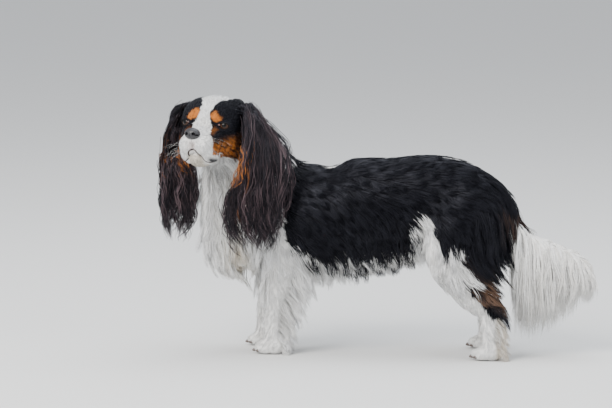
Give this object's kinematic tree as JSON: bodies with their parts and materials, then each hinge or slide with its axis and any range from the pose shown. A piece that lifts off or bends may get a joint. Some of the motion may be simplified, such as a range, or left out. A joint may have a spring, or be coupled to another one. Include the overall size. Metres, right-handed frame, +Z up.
{
  "type": "cavalier king charles spaniel model",
  "caption": "Life-size still model of a standing cavalier king charles spaniel, tricolour, head turned to its left, with long ear, leg and tail coat.",
  "frame": {"origin": "middle of the whole model's outline on the floor, below the belly", "axes": "+Z up, the dog's body faces -X, and its left side is -Y"},
  "size_m": [0.7094, 0.2402, 0.4252],
  "materials": {
    "black_coat": "black silky coat with cool highlights",
    "white_coat": "white silky coat with cream shading",
    "nose_leather": "damp pebbled black nose leather",
    "eye_brown": "wet dark brown eye"
  },
  "bodies": {
    "root": {"torso": "black_coat", "neck": "white_coat", "head": "white_coat", "jaw": "white_coat", "nose": "nose_leather", "eye_left": "eye_brown", "eye_right": "eye_brown", "ear_left": "black_coat", "ear_right": "black_coat", "foreleg_left": "white_coat", "foreleg_right": "white_coat", "thigh_left": "black_coat", "thigh_right": "black_coat", "rear_pastern_left": "white_coat", "rear_pastern_right": "white_coat", "tail": "white_coat"}
  },
  "joints": []
}
